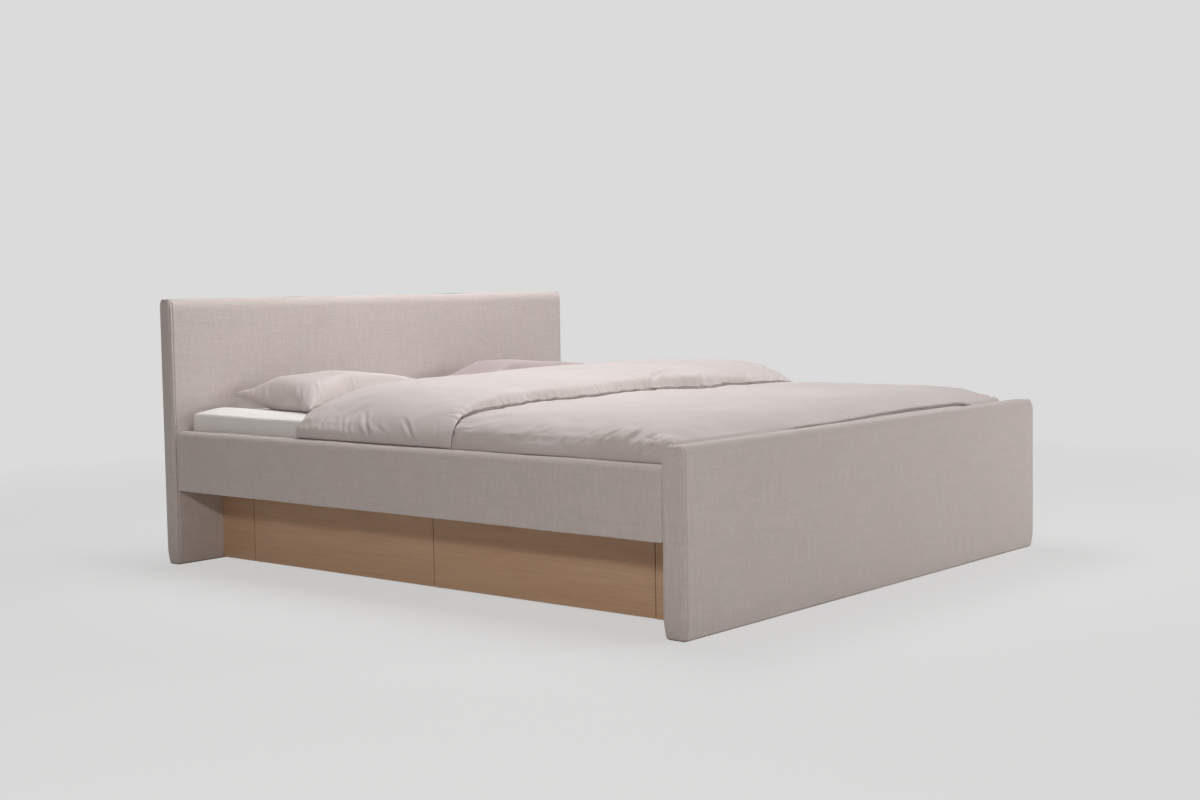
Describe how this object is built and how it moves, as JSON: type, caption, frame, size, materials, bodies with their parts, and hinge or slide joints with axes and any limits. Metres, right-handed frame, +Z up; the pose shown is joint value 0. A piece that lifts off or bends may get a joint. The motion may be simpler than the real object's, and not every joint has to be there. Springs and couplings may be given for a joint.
{
  "type": "waterbed",
  "caption": "Double softside waterbed with padded boards and rails, a water mattress in a foam frame, a drawer pedestal and made-up bedding; its drawers slide out on both sides.",
  "frame": {"origin": "on the floor under the middle of the whole bed", "axes": "+Z up; +Y to the head end; +X to the right side, seen from the foot end"},
  "size_m": [1.94, 2.178, 0.883],
  "materials": {
    "upholstery": "matte woven cover in greige over thin foam",
    "board": "raw particle board",
    "oak": "satin lacquered grey-brown oak veneer, grain level",
    "birch": "satin lacquered birch plywood",
    "beech": "planed and waxed hardwood",
    "bracket": "zinc plated",
    "foam": "matte open-cell foam",
    "liner": "matte embossed vinyl sheet",
    "water_core": "satin vinyl filled with water",
    "heater": "matte heater foil",
    "quilting": "matte quilted knit",
    "sheet": "matte white cotton",
    "duvet": "satin woven cotton in pale rose grey",
    "pillow_pale": "satin woven cotton in pale rose grey",
    "pillow_mauve": "satin woven cotton in mauve"
  },
  "bodies": {
    "root": {"headboard_cover": "upholstery", "headboard_core": "board", "footboard_cover": "upholstery", "footboard_core": "board", "left_rail_cover": "upholstery", "left_rail_core": "board", "right_rail_cover": "upholstery", "right_rail_core": "board", "corner_bracket_foot_left": "bracket", "corner_bracket_foot_right": "bracket", "corner_bracket_head_left": "bracket", "corner_bracket_head_right": "bracket", "deck_board_foot": "board", "deck_board_middle": "board", "deck_board_head": "board", "foot_gable": "board", "centre_gable": "board", "head_gable": "board", "spine": "board", "foot_end_panel": "board", "head_end_panel": "board", "plinth_strip_foot_left": "oak", "plinth_strip_foot_right": "oak", "plinth_strip_head_left": "oak", "plinth_strip_head_right": "oak", "inner_runner_head_left": "beech", "outer_runner_head_left": "beech", "inner_runner_foot_left": "beech", "outer_runner_foot_left": "beech", "inner_runner_head_right": "beech", "outer_runner_head_right": "beech", "inner_runner_foot_right": "beech", "outer_runner_foot_right": "beech", "fitted_sheet": "sheet", "mattress_cover": "quilting", "foam_bolster_left": "foam", "foam_bolster_right": "foam", "foam_bolster_foot": "foam", "foam_bolster_head": "foam", "safety_liner": "liner", "thermal_divider": "foam", "water_core_left": "water_core", "water_core_right": "water_core", "heater_pad_left": "heater", "heater_pad_right": "heater", "duvet": "duvet", "pillow_left": "pillow_pale", "pillow_right": "pillow_mauve"},
    "drawer_head_left": {"drawer_front_head_left": "oak", "drawer_box_head_left": "birch", "drawer_bottom_head_left": "birch"},
    "drawer_foot_left": {"drawer_front_foot_left": "oak", "drawer_box_foot_left": "birch", "drawer_bottom_foot_left": "birch"},
    "drawer_head_right": {"drawer_front_head_right": "oak", "drawer_box_head_right": "birch", "drawer_bottom_head_right": "birch"},
    "drawer_foot_right": {"drawer_front_foot_right": "oak", "drawer_box_foot_right": "birch", "drawer_bottom_foot_right": "birch"}
  },
  "joints": [
    {"name": "drawer_head_left_slide", "type": "slide", "parent": "root", "child": "drawer_head_left", "axis": [-1, 0, 0], "range_m": [0, 0.5]},
    {"name": "drawer_foot_left_slide", "type": "slide", "parent": "root", "child": "drawer_foot_left", "axis": [-1, 0, 0], "range_m": [0, 0.5]},
    {"name": "drawer_head_right_slide", "type": "slide", "parent": "root", "child": "drawer_head_right", "axis": [1, 0, 0], "range_m": [0, 0.5]},
    {"name": "drawer_foot_right_slide", "type": "slide", "parent": "root", "child": "drawer_foot_right", "axis": [1, 0, 0], "range_m": [0, 0.5]}
  ]
}
